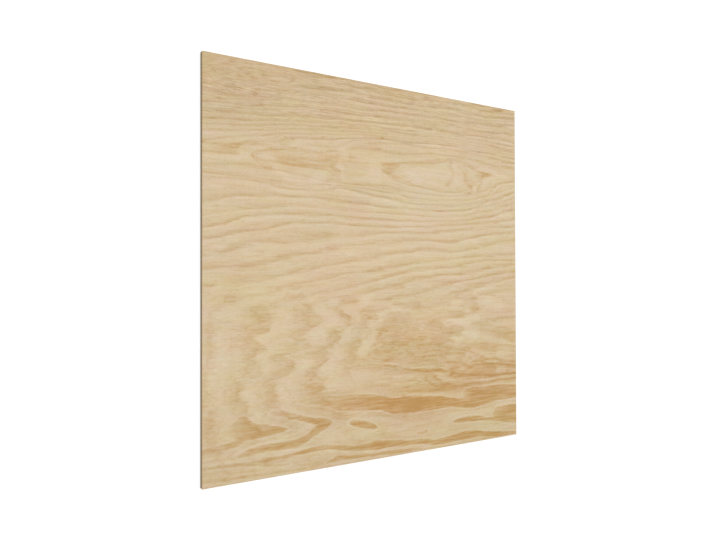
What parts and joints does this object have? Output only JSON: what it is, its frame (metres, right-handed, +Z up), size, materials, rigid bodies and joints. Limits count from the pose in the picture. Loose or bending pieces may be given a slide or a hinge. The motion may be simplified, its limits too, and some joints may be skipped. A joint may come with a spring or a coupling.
{
  "type": "plywood sheet",
  "caption": "Square sheet of softwood plywood with a figured pine face, cross-laminated veneers showing on its sawn edges, lying flat; a panel for sheathing, decking and joinery.",
  "frame": {"origin": "the middle of the underside", "axes": "+Z up through the thickness, from the back to the face; +X along the grain of the face veneers; +Y across the grain, in the plane of the sheet"},
  "size_m": [1.22, 1.22, 0.015],
  "materials": {
    "pine_plywood": "sanded and unsealed, dull, with the wavy figure of rotary-cut pine on both faces"
  },
  "bodies": {
    "root": {"plywood_sheet": "pine_plywood"}
  },
  "joints": []
}
